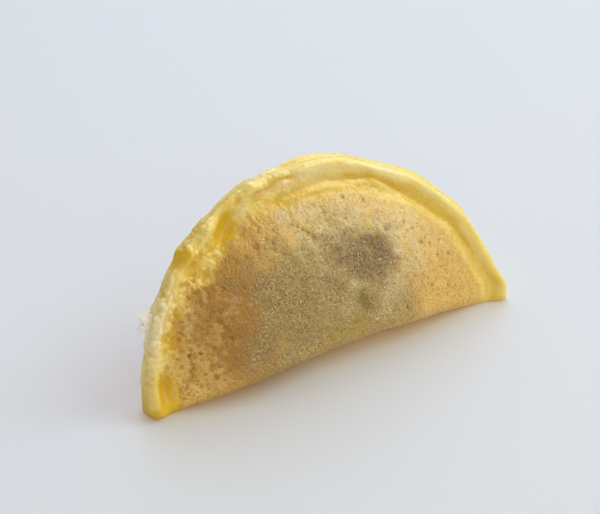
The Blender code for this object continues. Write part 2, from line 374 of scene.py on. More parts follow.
# Pinhole colours: painted shade, and over the filling partly the filling seen through.
GOLDEN_HOLE_SHADE = (196, 142, 52)
DARK_HOLE_FILLING_AND_SHADE = (112, 88, 42)
GLINT = (255, 242, 206)
LIGHT_THROUGH_EGG = (255, 218, 160)
LIGHT_THROUGH_SHARE = 0.65
EGG_WHITE = (250, 249, 240)
FLOOR = (207, 209, 214)
FLOOR_REACH = 3.0

COLUMNS = 520
ROWS = 124
RIM_ROWS = 6
LATTICE = 64

# The photograph's camera, fitted to the dumpling's two tips and its outline.
CAMERA_AZIMUTH = -32.7
CAMERA_ELEVATION = 29.0
CAMERA_DISTANCE = 0.5
CAMERA_LENS = 147.4
CAMERA_TARGET = (0.01573, 0.03095, -0.0008)

# The room's glow, and square lamps: azimuth, elevation, distance, size, power and colour.
ROOM_COLOUR = (1.0, 0.87, 0.66, 1.0)
ROOM_STRENGTH = 0.32
LAMPS = {
    "window": (78.0, 42.0, 0.9, 0.55, 4.4, (0.99, 1.0, 0.90)),
    "rear_window": (140.0, 45.0, 0.9, 0.7, 3.3, (0.56, 0.70, 1.0)),
    "sky": (172.0, 48.0, 1.1, 1.0, 3.7, (0.74, 0.86, 1.0)),
    "front": (-15.0, 24.0, 1.0, 0.8, 2.8, (1.0, 0.92, 0.78)),
    "left": (-100.0, 18.0, 1.0, 0.7, 0.9, (1.0, 0.95, 0.88)),
    "glint": (34.0, 42.0, 0.9, 0.12, 0.5, (1.0, 0.97, 0.90)),
}


def bump(x, centre, width):
    """A bell curve: e to the minus square of the distance from the centre over the width."""
    return np.exp(-((x - centre) / width) ** 2)


def changes_at(angle, changes):
    """Sum of the listed bell curves round the rim, each times its height."""
    total = np.zeros_like(angle)
    for centre, spread, height in changes:
        total = total + height * bump(angle, centre, spread)
    return total


def smooth_step(x):
    """An S curve: 3 x squared less 2 x cubed, held at 0 below 0 and at 1 above 1."""
    x = np.clip(x, 0.0, 1.0)
    return x * x * (3.0 - 2.0 * x)


def lattice_noise(x, y, size, seed):
    """Noise from -1 to 1: random heights on a square lattice, blended by an S curve between corners."""
    heights = np.random.default_rng(seed).uniform(-1.0, 1.0, (LATTICE, LATTICE))
    cell_x = np.floor(x / size)
    cell_y = np.floor(y / size)
    part_x = smooth_step(x / size - cell_x)
    part_y = smooth_step(y / size - cell_y)
    left = cell_x.astype(int) % LATTICE
    low = cell_y.astype(int) % LATTICE
    right = (left + 1) % LATTICE
    high = (low + 1) % LATTICE
    bottom = heights[left, low] * (1.0 - part_x) + heights[right, low] * part_x
    top = heights[left, high] * (1.0 - part_x) + heights[right, high] * part_x
    return bottom * (1.0 - part_y) + top * part_y


def rough_noise(x, y, size, seed, octaves=4):
    """Lattice noise added up at ever halved sizes and heights, and scaled to about -1 to 1."""
    total = np.zeros_like(x)
    for octave in range(octaves):
        total = total + lattice_noise(x, y, size / 2 ** octave, seed + octave) / 2 ** octave
    return total / 1.6


def scatter(x, y, size, seed):
    """Distance, in cells, to the nearest of the points strewn one to a square cell, and its own number."""
    strewn = np.random.default_rng(seed).random((LATTICE, LATTICE, 3))
    cell_x = np.floor(x / size).astype(int)
    cell_y = np.floor(y / size).astype(int)
    nearest = np.full(x.shape, 9.0)
    number = np.zeros(x.shape)
    for step_x in (-1, 0, 1):
        for step_y in (-1, 0, 1):
            point = strewn[(cell_x + step_x) % LATTICE, (cell_y + step_y) % LATTICE]
            away_x = cell_x + step_x + point[..., 0] - x / size
            away_y = cell_y + step_y + point[..., 1] - y / size
            away = np.hypot(away_x, away_y)
            number = np.where(away < nearest, point[..., 2], number)
            nearest = np.minimum(away, nearest)
    return nearest, number


def stroke(u, v, start, end, width):
    """A bell curve of the distance to a straight stroke from start to end on the half disc."""
    run = np.subtract(end, start)
    share = ((u - start[0]) * run[0] + (v - start[1]) * run[1]) / np.dot(run, run)
    share = np.clip(share, 0.0, 1.0)
    away = np.hypot(u - start[0] - share * run[0], v - start[1] - share * run[1])
    return bump(away, 0.0, width)


def ripple(angle):
    """Small unevenness of the rim: two sines, stronger on the frothy left side, and 0 at both tips."""
    turn = np.radians(angle)
    uneven = np.sin(RIPPLES_AROUND * turn + 0.6) + 0.6 * np.sin(FINE_RIPPLES_AROUND * turn)
    rougher = smooth_step((angle - RIPPLE_FROM_ANGLE) / 20.0)
    return RIPPLE * uneven * (RIPPLE_SMOOTH_SIDE + (1.0 - RIPPLE_SMOOTH_SIDE) * rougher) * np.sin(turn)


def outline(angle):
    """Distance from the fold's middle to the rim: a circle, with cosines of one, two and three times
    the angle, the listed changes and the ripple, less what a quarter circle takes off at each tip."""
    turn = np.radians(angle)
    radius = OUTLINE_RADIUS - OUTLINE_TO_LEFT * np.cos(turn)
    radius = radius + OUTLINE_WIDER * np.cos(2.0 * turn) + OUTLINE_THREE_SIDED * np.cos(3.0 * turn)
    radius = radius + changes_at(angle, OUTLINE_CHANGES) + ripple(angle)
    corner = np.where(angle < 90.0, *TIP_CORNERS)
    below = np.clip(1.0 - radius * np.sin(turn) / corner, 0.0, 1.0)
    return radius - corner * (1.0 - np.sqrt(1.0 - below ** 2))


def spaced(count, density):
    """count + 1 values from 0 to 1, at equal steps of the density's running sum, so that they are closest
    together where density is highest."""
    grid = np.linspace(0.0, 1.0, 4001)
    weight = density(grid)
    total = np.concatenate(([0.0], np.cumsum((weight[1:] + weight[:-1]) / 2.0)))
    return np.interp(np.linspace(0.0, 1.0, count + 1), total / total[-1], grid)


def column_density(share):
    """1, and a part that fades exponentially from both tips, where the fold is tight."""
    return 1.0 + 9.0 * np.exp(-np.minimum(share, 1.0 - share) / 0.004)


def row_density(share):
    """1, a part that fades exponentially from the fold, and an S curve up to the pressed rim."""
    return 1.0 + 3.0 * np.exp(-share / 0.03) + 0.8 * smooth_step((share - 0.76) / 0.06)


def pillow_edge(angle):
    """Distance from the rim at which the filling starts: widest at the top, narrow low on the left."""
    return PILLOW_EDGE + changes_at(angle, PILLOW_EDGE_CHANGES)


def valley_strength(angle):
    """1 where the lip's valley is sharp: low towards the right tip, by an S curve, and none at the left."""
    return smooth_side(angle) * (0.25 + 0.75 * smooth_step((angle - 38.0) / 16.0))


def valley_at(angle):
    """Distance of the lip's valley from the rim."""
    return VALLEY_AT + changes_at(angle, VALLEY_CHANGES)


def smooth_side(angle):
    """1 along the smooth lip on the right, falling to 0 past the top by an S curve."""
    return 1.0 - smooth_step((angle - VALLEY_FADES_FROM) / VALLEY_FADES_OVER)


def pillow(u, inward, angle, height):
    """The filling's rise above the pressed rim: 1 less the square of what is left of its way in, to a
    power that rounds it, times a taper to both tips. A hyperbola softens its start."""
    past = inward - pillow_edge(angle)
    past = 0.5 * (past + np.sqrt(past ** 2 + PILLOW_SOFTNESS ** 2))
    share = np.clip(past / PILLOW_RISE, 0.0, 1.0)
    taper = 1.0 - np.clip(np.abs(u) / HALF_CHORD, 0.0, 1.0) ** TIP_TAPER
    return height * taper * (1.0 - (1.0 - share) ** 2) ** PILLOW_FULLNESS


def hollows(u, v):
    """Sum of the listed hollows: e to the minus sum of the squared shares along and across each one's
    own slope."""
    depth = np.zeros_like(u)
    for at_u, at_v, half_length, half_width, deep, slope in FRONT_HOLLOWS:
        turn = np.radians(slope)
        along = (u - at_u) * np.cos(turn) + (v - at_v) * np.sin(turn)
        across = (v - at_v) * np.cos(turn) - (u - at_u) * np.sin(turn)
        depth = depth + deep * np.exp(-(along / half_length) ** 2 - (across / half_width) ** 2)
    return depth


def left_side(angle):
    """0 on the right of the rim, rising by an S curve near the top to 1 on the frothy left side."""
    return smooth_step((angle - 82.0) / 22.0)


def froth(arc, across, seed):
    """Curdled froth, from -1 in its pits to 1 on its curds. Rough noise, with beads strewn one to a
    cell that show only in patches."""
    rough = rough_noise(arc, across, 2.6, seed)
    away, number = scatter(arc + 0.7 * rough, across + 0.6 * rough, 0.95, seed + 4)
    beads = np.clip(1.0 - away / 0.7, 0.0, 1.0) * (0.3 + 0.7 * number)
    patch = smooth_step(0.55 + 1.3 * rough_noise(arc, across, 5.5, seed + 7, 2))
    return np.clip((0.3 + 0.9 * patch) * (1.2 * beads - 0.4) + 0.85 * rough, -1.0, 1.0)


def large_pores(u, v):
    """An S curve of the distance to the listed pores over their radius, bent by noise: 1 inside."""
    bend_u = u + 0.45 * rough_noise(u, v, 0.9, 5, 2)
    bend_v = v + 0.45 * rough_noise(u, v, 0.9, 9, 2)
    pit = np.zeros_like(u)
    for at_u, at_v, radius in PORES:
        away = np.hypot(bend_u - at_u, bend_v - at_v)
        pit = np.maximum(pit, smooth_step(1.4 - 1.2 * away / radius))
    return pit


def small_pores(u, v, seed):
    """1 in small bubbles strewn one to a cell and 0 outside: most cells have none."""
    bend_u = u + 0.30 * lattice_noise(u, v, 0.7, seed)
    bend_v = v + 0.30 * lattice_noise(u, v, 0.7, seed + 1)
    away, number = scatter(bend_u, bend_v, 1.5, seed + 2)
    return smooth_step(1.5 - away / (0.02 + 0.16 * number)) * (number > 0.35)


def crack(u, v):
    """1 along the crack low on the left flank: the strongest of its strokes, which noise makes wander."""
    line = np.zeros_like(u)
    wander = 0.25 * lattice_noise(u, v, 0.9, 7)
    for start, end in zip(CRACK[:-1], CRACK[1:]):
        line = np.maximum(line, stroke(u + wander, v - wander, start, end, 0.28))
    return line


def on_rim(inward, angle):
    """1 on the pressed rim and 0 on the filling, with an S curve between."""
    return 1.0 - smooth_step((inward - pillow_edge(angle) + 0.2) / 1.5)


def patches(angle, inward, listed):
    """The strongest of the listed patches, each a bell curve both round the rim and inward."""
    total = np.zeros_like(angle)
    for at_angle, at_inward, angle_spread, inward_spread, strength in listed:
        patch = bump(angle, at_angle, angle_spread) * bump(inward, at_inward, inward_spread)
        total = np.maximum(total, strength * patch)
    return total


def oval(u, v, place):
    """Distance from an oval's middle, 1 on its edge: the root of the squared shares of its half sizes."""
    at_u, at_v, half_length, half_height = place
    return np.hypot((u - at_u) / half_length, (v - at_v) / half_height)


def clear_of_fold(v):
    """An S curve from 0 at about 4 mm above the fold to 1 at about 10 mm."""
    return smooth_step(v / 6.0 - 0.7)


def froth_share(inward, angle, v):
    """How frothy each place is: patches on the left side of the rim, and less between them."""
    share = np.maximum(FROTH_ELSEWHERE, patches(angle, inward, FROTH_PATCHES))
    return share * left_side(angle) * on_rim(inward, angle) * clear_of_fold(v)


def combed(arc, across, angle, inward):
    """Fine ridges that run inward from the rim, from -1 to 1, and 0 away from their patch: noise drawn out
    inward."""
    ridges = lattice_noise(arc + 0.3 * lattice_noise(arc, across, 1.5, 311), 0.16 * across, 0.55, 312)
    return ridges * patches(angle, inward, COMBED_PATCHES)


def lengthwise(arc, across):
    """Soft streaks along the rim, from -1 to 1: noise drawn out along the arc."""
    return rough_noise(0.22 * arc, across, 0.9, 401, 3)


def crumbs(u, v, inward, angle):
    """The crumbly skin, 0 to 1: orange pits at strewn points and where rough noise is high, and pale
    flakes where it is low."""
    edge_share = 0.35 + 0.5 * smooth_step((angle - 120.0) / 25.0)
    zone = edge_share * left_side(angle) * bump(inward, pillow_edge(angle) + 1.0, 1.8)
    for *place, strength in CRUMBLY_ZONES:
        zone = np.maximum(zone, strength * smooth_step(1.7 - oval(u, v, place)))
    zone = zone * smooth_step((inward - 2.2) / 1.5)
    rough = rough_noise(u, v, 2.4, 301, 4)
    away, number = scatter(u + 0.5 * rough, v + 0.5 * rough, 1.05, 305)
    pits = smooth_step(1.6 - away / (0.12 + 0.26 * number)) * (number > 0.35)
    pits = zone * np.maximum(pits, 0.5 * smooth_step((rough - 0.35) / 0.2))
    flakes = zone * smooth_step((-0.02 - rough) / 0.3)
    return pits, flakes


def fine_relief(ring):
    """Height in mm of all that is finer than the solid: the sum of grain, lumps, froth, crumbs, streaks
    and clumps, each times its mask, less the pores, the pits and the crack."""
    u, v, angle, inward, front = (ring[name] for name in ("u", "v", "angle", "inward", "front"))
    rim = on_rim(inward, angle)
    belly = 1.0 - rim
    arc, across = ring["arc"], ring["across"]
    hollow = smooth_step(hollows(u, v) / 0.5) * front
    frothy = froth_share(inward, angle, v) * (1.0 - FROTH_LOST_IN_HOLLOWS * hollow)
    frothy = frothy * (FROTH_AT_REAR + (1.0 - FROTH_AT_REAR) * front)
    crumbly = left_side(angle) * bump(inward, pillow_edge(angle) + 1.0, 2.2) * front
    curds = froth(arc, across, CURD_SEED)
    grain = rough_noise(u, v, 1.1, 21)
    lumps = rough_noise(u, v, 5.0, 31, 2)
    crumb_pits, crumb_flakes = crumbs(u, v, inward, angle)
    clumped = strokes(u + 0.4 * grain, v - 0.4 * grain, PALE_STROKES) + bump(oval(u, v, CLUMPED), 0.0, 1.0)

    height = belly * (GRAIN_HEIGHT * grain + LUMP_HEIGHT * lumps) + RIM_LUMP_HEIGHT * rim * lumps
    height = height - belly * SMALL_PORE_DEPTH * small_pores(u, v, PORE_SEED)
    height = height - belly * LARGE_PORE_DEPTH * front * large_pores(u, v)
    height = height + (FROTH_HEIGHT * frothy + CRUMBLY_CURD_HEIGHT * crumbly) * curds
    height = height + front * (CRUMB_FLAKE_HEIGHT * crumb_flakes - CRUMB_PIT_DEPTH * crumb_pits)
    height = height + STREAK_HEIGHT * rim * (1.0 - left_side(angle)) * lengthwise(arc, across)
    height = height + CLUMP_HEIGHT * front * belly * clumped * rough_noise(u, v, 1.5, 71, 2)
    height = height + COMBED_HEIGHT * front * combed(arc, across, angle, inward)
    return height - CRACK_DEPTH * front * crack(u, v)


def skin(u, v, front):
    """Height of the front or rear skin above the half disc's middle plane: an elliptical nose at the lip,
    bell curves for its crest, its valley and the ridge inside it, and the filling's rise, all times a
    quarter circle that closes at the fold. The front has hollows, and the rear a product of two sines."""
    angle = np.degrees(np.arctan2(v, u))
    inward = outline(angle) - np.hypot(u, v)
    nose = np.clip(inward / LIP_NOSE, 0.0, 1.0)
    layer = LAYER * (1.0 + changes_at(angle, LEFT_EAR_THICKER))
    height = LIP_EDGE + (layer - LIP_EDGE) * np.sqrt(1.0 - (1.0 - nose) ** 2)
    crest = LIP_CREST_HEIGHT + (1.6 * ripple(angle) if front else 0.0)
    height = height + crest * bump(inward, *LIP_CREST)
    valley = VALLEY_DEPTH * bump(inward, valley_at(angle), VALLEY_WIDTH)
    height = height + smooth_side(angle) * INNER_RIDGE_HEIGHT * bump(inward, *INNER_RIDGE)
    height = height - valley_strength(angle) * valley
    height = height + pillow(u, inward, angle, FRONT_HEIGHT if front else REAR_HEIGHT)
    fold_round = FOLD_ROUND_FRONT if front else FOLD_ROUND_REAR
    fold_round = LAYER + fold_round * (1.0 - np.clip(np.abs(u) / HALF_CHORD, 0.0, 1.0) ** 2.5)
    near_fold = np.clip(v / fold_round, 0.0, 1.0)
    if front:
        height = height - hollows(u, v)
    else:
        height = height + 0.25 * np.sin(u / 5.3 + 1.0) * np.sin(v / 4.1)
    return height * np.sqrt(1.0 - (1.0 - near_fold) ** 2)


def stand(u, v, height):
    """The half disc as it stands: its rim waved by a sine that fades inward, turned back by the lean,
    set back and arched by parabolas, sagged at the rear by an S curve, and flat where it rests."""
    inward = np.maximum(outline(np.degrees(np.arctan2(v, u))) - np.hypot(u, v), 0.0)
    wave = RIM_WAVE * np.sin(RIM_WAVES_AROUND * np.arctan2(v, u) + 0.5)
    height = height + wave * np.exp(-inward / RIM_WAVE_REACH) * np.clip(v / RIM_WAVE_REACH, 0.0, 1.0)
    lean = np.radians(LEAN)
    reach = np.clip(u / HALF_CHORD, -1.0, 1.0)
    middle = 1.0 - reach ** 2
    sag = REAR_SAG * middle * smooth_step(-height / REAR_SAG_DEPTH) * np.exp(-v / REAR_SAG_HEIGHT)
    level = v + FOLD_ARCH * middle - sag
    set_back = MIDDLE_SET_BACK * middle * (1.0 + SET_BACK_SKEW * reach)
    x = u - MIDDLE_X
    y = v * np.sin(lean) - height * np.cos(lean) + set_back - MIDDLE_Y
    z = level * np.cos(lean) + height * np.sin(lean) - SETTLE
    return np.stack((x, y, np.maximum(z, 0.0)), axis=-1) * MM


def half_disc(angles, rows):
    """Places u along the fold and v above it: straight lines fan from the fold to the rim."""
    radius = outline(angles)[:, None]
    turn = np.radians(angles)[:, None]
    start = (FOLD_HALF_LENGTH * (1.0 - 2.0 * angles / 180.0))[:, None]
    u = start + (radius * np.cos(turn) - start) * rows[None, :]
    v = radius * np.sin(turn) * rows[None, :]
    return u, v


def crepe_rings():
    """Rings of places, each from the fold up the front skin, round the rim and down the rear. Across
    is the way along a ring from the front skin's edge: inward in front, and negative past the edge."""
    angles = 180.0 * spaced(COLUMNS, column_density)
    rows = spaced(ROWS, row_density)
    front_u, front_v = half_disc(angles, rows)
    front_h = skin(front_u, front_v, True)

    back = rows[::-2]
    turn = np.radians(angles)[:, None]
    clear_of_tip = np.minimum(1.0, 4.0 * np.sin(turn))
    frothy = left_side(angles)[:, None]
    proud = REAR_PROUD * (1.0 - frothy) + changes_at(angles, REAR_PROUD_CHANGES)[:, None]
    proud = proud * clear_of_tip
    rear_u, rear_v = half_disc(angles, back)
    rear_h = skin(rear_u, rear_v, False)
    rear_inward = outline(angles)[:, None] - np.hypot(rear_u, rear_v)
    rear_u = rear_u + proud * np.cos(turn) * back[None, :] ** 8
    rear_v = rear_v + proud * np.sin(turn) * back[None, :] ** 8

    share = np.linspace(0.0, 1.0, RIM_ROWS + 1)[None, 1:-1]
    thickness = front_h[:, -1:] + rear_h[:, :1]
    groove = (EDGE_GROOVE + (EDGE_GROOVE_AT_LEFT - EDGE_GROOVE) * frothy) * clear_of_tip
    radius = outline(angles)[:, None] + proud * share - groove * np.sin(np.pi * share)
    rim_u = radius * np.cos(turn)
    rim_v = radius * np.sin(turn)
    front_inward = outline(np.degrees(np.arctan2(front_v, front_u))) - np.hypot(front_u, front_v)

    u = np.concatenate((front_u, rim_u, rear_u), axis=1)
    v = np.concatenate((front_v, rim_v, rear_v), axis=1)
    angle = np.degrees(np.arctan2(v, u))
    none = np.zeros_like(rim_u)
    return {
        "u": u,
        "v": v,
        "angle": angle,
        "arc": OUTLINE_RADIUS * np.radians(angle),
        "height": np.concatenate((front_h, front_h[:, -1:] - thickness * share, -rear_h), axis=1),
        "inward": np.concatenate((front_inward, none, rear_inward), axis=1),
        "across": np.concatenate((front_inward, -thickness * share, -thickness - rear_inward), axis=1),
        "front": np.concatenate((np.ones_like(front_u), 1.0 - share + none, np.zeros_like(rear_u)), axis=1),
        "clear": np.broadcast_to(np.minimum(1.0, 6.0 * np.sin(turn)), u.shape),
    }


def raised(points, relief):
    """Points moved outward by their relief. Outward is the cross product of the way round the ring
    and the way from ring to ring."""
    closed = points[:, :-1]
    round_ring = np.roll(closed, -1, axis=1) - np.roll(closed, 1, axis=1)
    outward = np.cross(round_ring, np.gradient(closed, axis=0))
    outward = outward / np.maximum(np.linalg.norm(outward, axis=-1, keepdims=True), 1e-12)
    outward = np.concatenate((outward, outward[:, :1]), axis=1)
    moved = points + outward * relief[..., None] * MM
    moved[..., 2] = np.maximum(moved[..., 2], 0.0)
    return moved


def ring_numbers(ring):
    """Point numbers: each ring starts and ends on the fold. At the tips the two end rings close flat,
    and every second front point joins its neighbour, so that front and rear have the same points."""
    numbers = np.arange((COLUMNS + 1) * ring).reshape(COLUMNS + 1, ring)
    numbers[:, -1] = numbers[:, 0]
    for end in (0, -1):
        numbers[end, 1:ROWS:2] = numbers[end, 0:ROWS:2]
        numbers[end, ROWS:ROWS + RIM_ROWS] = numbers[end, ROWS]
        numbers[end, ROWS + RIM_ROWS:] = numbers[end, ROWS::-2]
    return numbers


def ring_faces(numbers):
    """Squares between the rings, and triangles in the first and last strip, where some close up."""
    first = numbers[:-1, :-1]
    second = numbers[1:, :-1]
    third = numbers[1:, 1:]
    fourth = numbers[:-1, 1:]
    squares = np.stack((first, fourth, third, second), axis=-1)[1:-1].reshape(-1, 4)
    ends = (0, -1)
    lower = np.stack((first[ends, :], third[ends, :], second[ends, :]), axis=-1).reshape(-1, 3)
    upper = np.stack((first[ends, :], fourth[ends, :], third[ends, :]), axis=-1).reshape(-1, 3)
    triangles = np.concatenate((lower, upper))
    after = np.roll(triangles, 1, axis=1)
    triangles = triangles[np.all(triangles != after, axis=1)]
    return squares, triangles


def make_piece(name, points, faces, masks):
    """A smooth mesh object at the origin, with one number or arrow per point for each named mask."""
    mesh = bpy.data.meshes.new(name)
    mesh.from_pydata(points.tolist(), [], faces)
    for mask_name, values in masks.items():
        if values.ndim == 1:
            attribute = mesh.attributes.new(mask_name, "FLOAT", "POINT")
            attribute.data.foreach_set("value", values.astype(np.float32))
        else:
            attribute = mesh.attributes.new(mask_name, "FLOAT_VECTOR", "POINT")
            attribute.data.foreach_set("vector", values.astype(np.float32).ravel())
    mesh.shade_smooth()
    piece = bpy.data.objects.new(name, mesh)
    bpy.context.scene.collection.objects.link(piece)
    return piece


def strokes(u, v, listed):
    """The strongest of the listed strokes: start, end, width and strength."""
    total = np.zeros_like(u)
    for start, end, width, strength in listed:
        total = np.maximum(total, strength * stroke(u, v, start, end, width))
    return total


def belly_masks(ring):
    """Where the belly is tan, deep tan with painted shade, stained, violet, dark with painted shade in the
    dents, lime, or pale with painted highlight, and where painted light makes its foot glow.
    """
    u, v, angle, front = (ring[name] for name in ("u", "v", "angle", "front"))
    slow, quick, bent_u, bent_v = (ring[name] for name in ("slow", "quick", "bent_u", "bent_v"))
    left = left_side(angle)
    soft = TAN_SOFTNESS + changes_at(angle, TAN_SOFTNESS_CHANGES)
    soft = soft + TAN_SOFTER_AT_RIGHT * (1.0 - left) * smooth_step((70.0 - angle) / 30.0)
    starts = TAN_STARTS + changes_at(angle, TAN_STARTS_CHANGES) + (0.5 + 1.2 * left) * quick
    tan = smooth_step((ring["inward"] - pillow_edge(angle) + starts) / soft)
    at_u, at_v, half_length, half_height = FILLING
    sloped = v + FILLING_SLOPE * u
    filling = np.abs((u - at_u) / half_length) ** 3 + np.abs((sloped - at_v) / half_height) ** 3
    filling = 2.6 - 2.2 * filling ** (1.0 / 3.0) + 0.5 * slow + 0.35 * quick
    bruise = smooth_step(1.22 - 0.85 * oval(u, v, BRUISE) + 0.7 * quick + 0.3 * slow) * front
    pale_top = 0.8 * bump(oval(u, v, PALE_TOP), 0.0, 1.0) * (1.0 - bruise)
    # Pale: partly painted highlight on the ridges over the filling.
    pale_and_highlight = np.maximum(strokes(bent_u, bent_v, PALE_STROKES), pale_top)
    # Painted light: the foot is lighter and warmer, as if light bounced up from the floor and came through
    # the thin egg.
    foot = smooth_step(1.0 - v / 5.0 + 0.3 * slow)
    return {
        "tan": tan,
        # Deep tan: partly painted shade on the left flank.
        "deep": smooth_step(1.45 - oval(u, v, DEEP_TAN_AND_SHADE) + 0.35 * slow) * tan,
        "filling": smooth_step(filling) * tan,
        "bruise": bruise,
        # Dark: partly painted shade in the dents.
        "dark_and_dent_shade": strokes(bent_u, bent_v, DARK_AND_DENT_SHADE_STROKES) * front,
        "lime": strokes(bent_u, bent_v, LIME_STROKES) * front,
        "pale_and_highlight": pale_and_highlight * (0.8 + 0.6 * quick) * front,
        "glow": foot * (0.1 + 0.9 * smooth_step((u + 18.0) / 30.0)) * front,
    }


def rim_masks(ring, tan):
    """Where the rim is cream, white, golden or ochre, partly as painted highlight and shade, and where
    crumbs and pores show.
    """
    u, v, angle, inward, front = (ring[name] for name in ("u", "v", "angle", "inward", "front"))
    slow, bent_u, bent_v = (ring[name] for name in ("slow", "bent_u", "bent_v"))
    left = left_side(angle)
    arc, across = ring["arc"], ring["across"]
    curds = froth(arc, across, CURD_SEED)
    ridges = combed(arc, across, angle, inward) * front
    streaks = lengthwise(arc, across)
    frothy = np.minimum(1.5 * froth_share(inward, angle, v), 1.0)
    frothy_side = left * clear_of_fold(v)
    lip = frothy_side * bump(angle, *WHITE_LIP) * smooth_step((2.6 - inward) / 1.8)
    # Painted shade: the gaps between the curds turn golden and ochre.
    gaps = frothy * (1.0 - 0.8 * lip) * smooth_step(-0.1 - 1.9 * curds)
    folds = strokes(bent_u, bent_v, GOLDEN_STROKES) * (1.0 - tan) * front
    edge = bump(angle, *GOLDEN_EDGE) * smooth_step(1.8 - inward)
    edge = np.maximum(edge, patches(angle, inward, GOLDEN_PATCHES) * front)

    cream_and_highlight = frothy_side * smooth_step((5.0 - inward) / 3.0) * (0.2 + 0.5 * slow)
    # Painted highlight: the tops of the curds are creamier.
    cream_and_highlight = cream_and_highlight + 0.8 * frothy * smooth_step(0.1 + 1.3 * curds)
    cream_and_highlight = cream_and_highlight * (1.0 - 0.5 * bump(angle, *LESS_CREAM) * smooth_step((inward - 1.5) / 1.5))
    # Painted highlight along the crest of the smooth right lip.
    crest = smooth_step((3.0 + 1.2 * streaks - inward) / 1.6) * (1.0 - left) * smooth_side(angle)
    drawn = strokes(bent_u, bent_v, CREAM_STROKES) * front
    cream_and_highlight = np.maximum.reduce((cream_and_highlight, 0.6 * smooth_step(1.6 * ridges), drawn, 0.8 * crest))

    # Painted highlight: pale streaks along the smooth right lip.
    lip_highlights = bump(inward, 0.9, 0.9) * smooth_step(0.35 + 1.1 * streaks) * (1.0 - left)
    lip_highlights = lip_highlights * smooth_step((angle - 22.0) / 16.0)
    # White: the left lip's own pale colour, with painted highlight on the tops of the curds.
    white_and_highlight = np.maximum(lip * smooth_step(1.1 + curds), 0.4 * frothy * smooth_step(1.9 * curds - 0.3))
    white_and_highlight = np.maximum(white_and_highlight, 0.7 * lip_highlights * front)
    white_and_highlight = np.maximum(white_and_highlight, patches(angle, inward, WHITE_PATCHES) * front) * (1.0 - 0.8 * folds)

    yellow = smooth_side(angle) * smooth_step((inward - 1.6 - 0.4 * slow) / 1.6) * front
    groove = 4.0 * front * (1.0 - front)
    # Golden: the lip's own deeper yellow, with painted shade in its valley, in the froth's gaps and in the
    # rim's hollows.
    golden_and_shade = np.maximum.reduce((
        0.6 * yellow * smooth_step((valley_at(angle) + 0.9 - inward) / 0.8),
        0.75 * valley_strength(angle) * bump(inward, valley_at(angle), 0.4) * front,
        smooth_step(bump(angle, *GOLDEN_EAR) * 1.4) * (1.0 - cream_and_highlight),
        0.8 * gaps,
        smooth_step(-1.6 * ridges),
        folds,
        smooth_step(hollows(u, v) / 0.8) * (1.0 - tan) * front,
        0.9 * groove * smooth_step(0.4 + 1.5 * streaks),
        edge,
    ))

    ochre = 0.2 * frothy_side * smooth_step((inward - 1.6) / 2.0)
    ochre = ochre * (1.0 - tan) * smooth_step(0.9 - 0.5 * curds)
    # Painted shade: the gaps between the curds add ochre.
    ochre = np.maximum(ochre, patches(angle, inward, OCHRE_PATCHES) * front) + 0.25 * gaps
    # Painted shade: the hollow of the left ear is deeper orange.
    ear_hollow_shade = 0.45 * front * stroke(u, v, *EAR_HOLLOW_SHADE)
    crumb_pits, crumb_flakes = crumbs(u, v, inward, angle)
    # Painted shade: the pores and the crack are darker orange.
    pore_and_crack_shade = np.maximum(front * large_pores(u, v), 0.5 * small_pores(u, v, PORE_SEED)) * tan
    return {
        "orange_and_shade": np.maximum.reduce((crumb_pits * front, ear_hollow_shade, ochre)),
        "flake": crumb_flakes * tan * front,
        "cream_and_highlight": cream_and_highlight * (1.0 - edge),
        "white_and_highlight": white_and_highlight * (1.0 - edge),
        "golden_and_shade": golden_and_shade,
        "pore_and_crack_shade": np.maximum(pore_and_crack_shade, 0.6 * crack(u, v) * front),
    }


def skin_masks(ring):
    """Where each colour of the skin shows, one number per place, and each place on the half disc."""
    u, v = ring["u"], ring["v"]
    quick = rough_noise(u, v, 2.2, 161)
    bent = {
        "slow": rough_noise(u, v, 7.0, 151),
        "quick": quick,
        "bent_u": u + 0.5 * quick,
        "bent_v": v + 0.5 * rough_noise(u, v, 2.2, 171),
    }
    bent.update(ring)
    found = belly_masks(bent)
    found.update(rim_masks(bent, found["tan"]))
    masks = {name: np.clip(found[name], 0.0, 1.0) for name in SKIN_MASKS}
    masks["flat_place"] = np.stack((u, v, np.zeros_like(u)), axis=-1)
    return masks


def make_crepe():
    """The whole folded crepe as one closed skin."""
    ring = crepe_rings()
    points = stand(ring["u"], ring["v"], ring["height"])
    off_ground = smooth_step(points[..., 2] / (0.6 * MM) + 0.1)
    points = raised(points, fine_relief(ring) * ring["clear"] * off_ground).reshape(-1, 3)
    squares, triangles = ring_faces(ring_numbers(ring["u"].shape[1]))
    used = np.unique(np.concatenate((squares.ravel(), triangles.ravel())))
    new_number = np.zeros(len(points), int)
    new_number[used] = np.arange(len(used))
    faces = new_number[squares].tolist() + new_number[triangles].tolist()
    masks = {}
    for name, values in skin_masks(ring).items():
        masks[name] = values.reshape((len(points),) + values.shape[2:])[used]
    return make_piece("crepe_skin", points[used], faces, masks)


